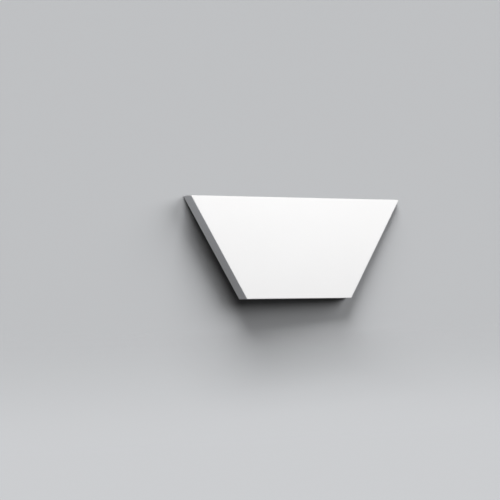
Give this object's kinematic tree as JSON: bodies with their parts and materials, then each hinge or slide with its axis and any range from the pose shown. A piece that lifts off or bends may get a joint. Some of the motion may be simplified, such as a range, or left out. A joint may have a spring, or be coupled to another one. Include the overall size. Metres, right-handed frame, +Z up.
{
  "type": "trapezium wall panel",
  "caption": "Smooth white trapezium relief panel with a slanted front face, slightly leaning sides and a flat back that is glued to a wall.",
  "frame": {"origin": "middle of the flat back, half way between the long top edge and the short bottom edge", "axes": "+X along the long edge to the right as seen from the room, +Y into the wall, +Z up"},
  "size_m": [0.3432, 0.0298, 0.1494],
  "materials": {
    "white_primer": "smooth matte white factory primer on moulded rigid foam"
  },
  "bodies": {
    "root": {"trapezium_panel": "white_primer"}
  },
  "joints": []
}
